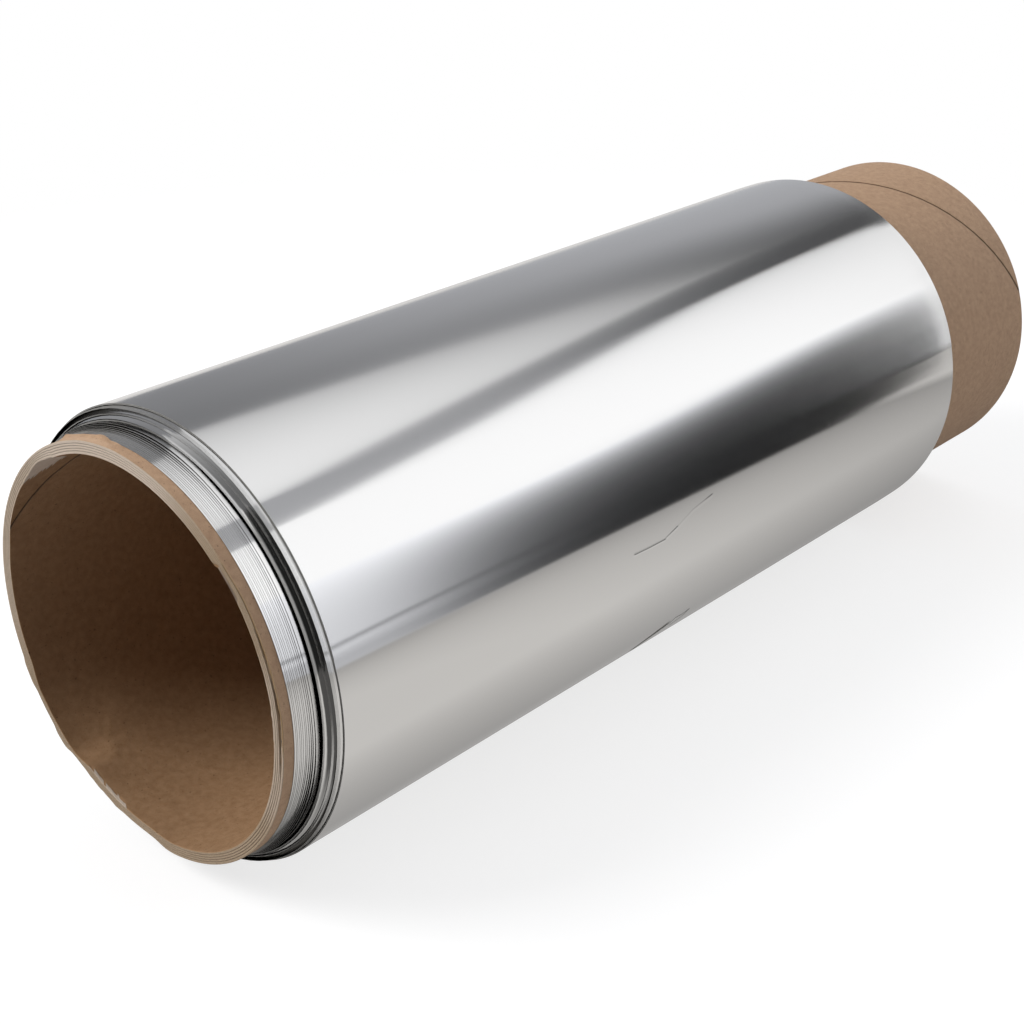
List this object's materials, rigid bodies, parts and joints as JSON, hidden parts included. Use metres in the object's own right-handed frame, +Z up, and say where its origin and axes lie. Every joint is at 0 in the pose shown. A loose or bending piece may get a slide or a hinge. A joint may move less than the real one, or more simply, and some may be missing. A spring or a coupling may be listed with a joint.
{
  "type": "roll of stainless tool wrap",
  "caption": "Thin bright stainless steel foil wound on an open kraft paperboard core tube, lying on its side; for wrapping tool steel before heat treatment.",
  "frame": {"origin": "on the floor under the middle of the core: the centre of the bottom of the bounding box", "axes": "+X along the roll's axis from the end with the short core stub to the end with the long one, +Z up, the roll lying on its foil"},
  "size_m": [0.2572, 0.0892, 0.0893],
  "materials": {
    "kraft_board": "matte kraft paperboard",
    "stainless_foil": "bright annealed rolled foil"
  },
  "bodies": {
    "root": {"core_tube": "kraft_board", "foil_roll": "stainless_foil"}
  },
  "joints": []
}
